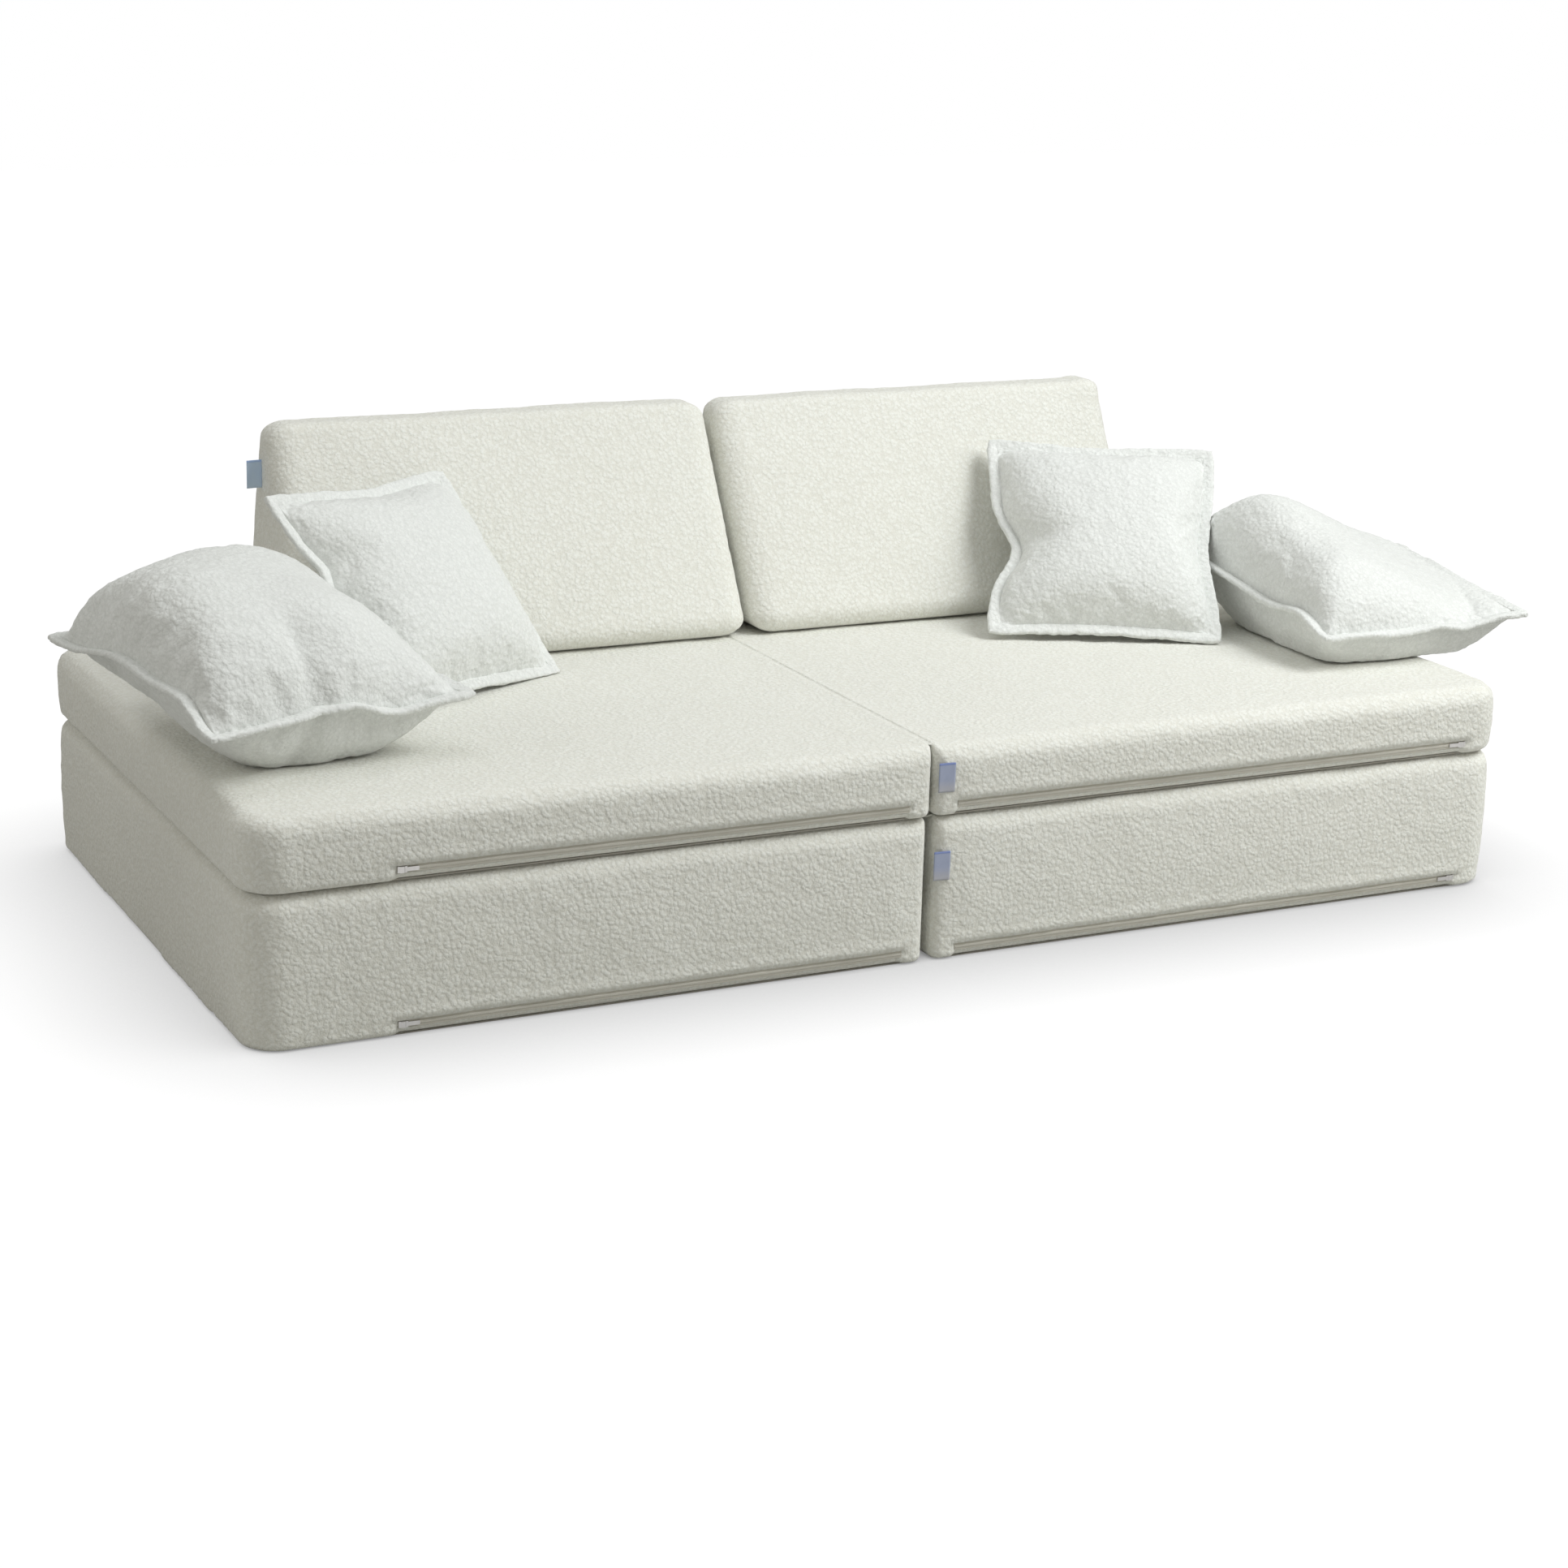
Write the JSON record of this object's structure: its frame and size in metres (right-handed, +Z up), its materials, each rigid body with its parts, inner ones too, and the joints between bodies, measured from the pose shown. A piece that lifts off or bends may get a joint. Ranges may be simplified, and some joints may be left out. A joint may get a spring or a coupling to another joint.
{
  "type": "modular foam play sofa",
  "caption": "Low play sofa of loose foam modules in zipped boucle covers: a folding base, a folding seat mattress, back wedges and flanged pillows.",
  "frame": {"origin": "on the floor, under the middle of the whole object with its pillows", "axes": "+Z up, -Y out of the sofa's front, +X to the right as seen from the front"},
  "size_m": [1.941, 0.8428, 0.5596],
  "materials": {
    "boucle": "looped boucle",
    "pillow_boucle": "looped boucle",
    "foam": "cut foam",
    "fibre": "loose fibre",
    "lining": "woven",
    "zip_cloth": "smooth tape",
    "zip_metal": "satin",
    "tag_ribbon": "satin ribbon"
  },
  "bodies": {
    "base_left": {"base_left_bottom_panel": "lining", "base_left_cover": "boucle", "base_left_foam": "foam", "base_left_zip": "zip_cloth", "base_fold_web": "boucle"},
    "base_right": {"base_right_bottom_panel": "lining", "base_right_cover": "boucle", "base_right_foam": "foam", "base_right_zip": "zip_cloth", "base_tag": "tag_ribbon"},
    "seat_left": {"seat_left_bottom_panel": "lining", "seat_left_cover": "boucle", "seat_left_foam": "foam", "seat_left_zip": "zip_cloth", "seat_fold_web": "boucle"},
    "seat_right": {"seat_right_bottom_panel": "lining", "seat_right_cover": "boucle", "seat_right_foam": "foam", "seat_right_zip": "zip_cloth", "seat_tag": "tag_ribbon"},
    "back_left": {"back_left_cover": "boucle", "back_left_foam": "foam", "back_left_tag": "tag_ribbon", "back_left_zip": "zip_cloth"},
    "back_right": {"back_right_cover": "boucle", "back_right_foam": "foam", "back_right_zip": "zip_cloth"},
    "pillow_left_rear": {"pillow_left_rear_cover": "pillow_boucle", "pillow_left_rear_filling": "fibre", "pillow_left_rear_zip": "zip_cloth"},
    "pillow_left_front": {"pillow_left_front_cover": "pillow_boucle", "pillow_left_front_filling": "fibre", "pillow_left_front_zip": "zip_cloth"},
    "pillow_right_rear": {"pillow_right_rear_cover": "pillow_boucle", "pillow_right_rear_filling": "fibre", "pillow_right_rear_zip": "zip_cloth"},
    "pillow_right_front": {"pillow_right_front_cover": "pillow_boucle", "pillow_right_front_filling": "fibre", "pillow_right_front_zip": "zip_cloth"},
    "back_left_zip_slider": {"back_left_zip_slider": "zip_metal"},
    "back_right_zip_slider": {"back_right_zip_slider": "zip_metal"},
    "base_left_zip_slider": {"base_left_zip_slider": "zip_metal"},
    "base_right_zip_slider": {"base_right_zip_slider": "zip_metal"},
    "pillow_left_front_zip_slider": {"pillow_left_front_zip_slider": "zip_metal"},
    "pillow_left_rear_zip_slider": {"pillow_left_rear_zip_slider": "zip_metal"},
    "pillow_right_front_zip_slider": {"pillow_right_front_zip_slider": "zip_metal"},
    "pillow_right_rear_zip_slider": {"pillow_right_rear_zip_slider": "zip_metal"},
    "seat_left_zip_slider": {"seat_left_zip_slider": "zip_metal"},
    "seat_right_zip_slider": {"seat_right_zip_slider": "zip_metal"}
  },
  "joints": [
    {"name": "base_fold", "type": "hinge", "parent": "base_left", "child": "base_right", "pos_m": [-0.01819, 0.0014, 0.1803], "axis": [0, -1, 0], "range_deg": [0, 180]},
    {"name": "seat_lift", "type": "slide", "parent": "base_left", "child": "seat_left", "axis": [0, 0, 1], "range_m": [0, 2.8]},
    {"name": "seat_fold", "type": "hinge", "parent": "seat_left", "child": "seat_right", "pos_m": [-0.01819, 0.0014, 0.2686], "axis": [0, -1, 0], "range_deg": [0, 180]},
    {"name": "back_left_lift", "type": "slide", "parent": "seat_left", "child": "back_left", "axis": [0, 0, 1], "range_m": [0, 2.8]},
    {"name": "back_right_lift", "type": "slide", "parent": "back_left", "child": "back_right", "axis": [0, 0.6, 0.8], "range_m": [0, 0.5]},
    {"name": "pillow_left_rear_lift", "type": "slide", "parent": "back_left", "child": "pillow_left_rear", "axis": [0, 0, 1], "range_m": [0, 0.5]},
    {"name": "pillow_left_front_lift", "type": "slide", "parent": "pillow_left_rear", "child": "pillow_left_front", "axis": [-0.6, 0, 0.8], "range_m": [0, 0.5]},
    {"name": "pillow_right_front_lift", "type": "slide", "parent": "back_left", "child": "pillow_right_front", "axis": [0, 0, 1], "range_m": [0, 0.5]},
    {"name": "pillow_right_rear_lift", "type": "slide", "parent": "pillow_right_front", "child": "pillow_right_rear", "axis": [0, 0, 1], "range_m": [0, 0.5]},
    {"name": "base_left_zip_run", "type": "slide", "parent": "base_left", "child": "base_left_zip_slider", "axis": [1, 0, 0], "range_m": [0, 0.6]},
    {"name": "base_right_zip_run", "type": "slide", "parent": "base_right", "child": "base_right_zip_slider", "axis": [-1, 0, 0], "range_m": [0, 0.71]},
    {"name": "seat_left_zip_run", "type": "slide", "parent": "seat_left", "child": "seat_left_zip_slider", "axis": [1, 0, 0], "range_m": [0, 0.6]},
    {"name": "seat_right_zip_run", "type": "slide", "parent": "seat_right", "child": "seat_right_zip_slider", "axis": [-1, 0, 0], "range_m": [0, 0.71]},
    {"name": "back_left_zip_run", "type": "slide", "parent": "back_left", "child": "back_left_zip_slider", "axis": [1, 0, 0], "range_m": [0, 0.455]},
    {"name": "back_right_zip_run", "type": "slide", "parent": "back_right", "child": "back_right_zip_slider", "axis": [1, 0, 0], "range_m": [0, 0.455]},
    {"name": "pillow_left_rear_zip_run", "type": "slide", "parent": "pillow_left_rear", "child": "pillow_left_rear_zip_slider", "axis": [0.8865, 0.4615, -0.0349], "range_m": [0, 0.13]},
    {"name": "pillow_left_front_zip_run", "type": "slide", "parent": "pillow_left_front", "child": "pillow_left_front_zip_slider", "axis": [-0.9553, -0.2957, -0.0035], "range_m": [0, 0.13]},
    {"name": "pillow_right_rear_zip_run", "type": "slide", "parent": "pillow_right_rear", "child": "pillow_right_rear_zip_slider", "axis": [0.9016, -0.432, -0.0227], "range_m": [0, 0.13]},
    {"name": "pillow_right_front_zip_run", "type": "slide", "parent": "pillow_right_front", "child": "pillow_right_front_zip_slider", "axis": [-0.9998, -0.0192, -0.007], "range_m": [0, 0.13]}
  ],
  "couplings": [
    {"joint": "seat_lift", "follows": "base_fold", "m_per_rad": 0.88},
    {"joint": "back_left_lift", "follows": "seat_fold", "m_per_rad": 0.88}
  ]
}
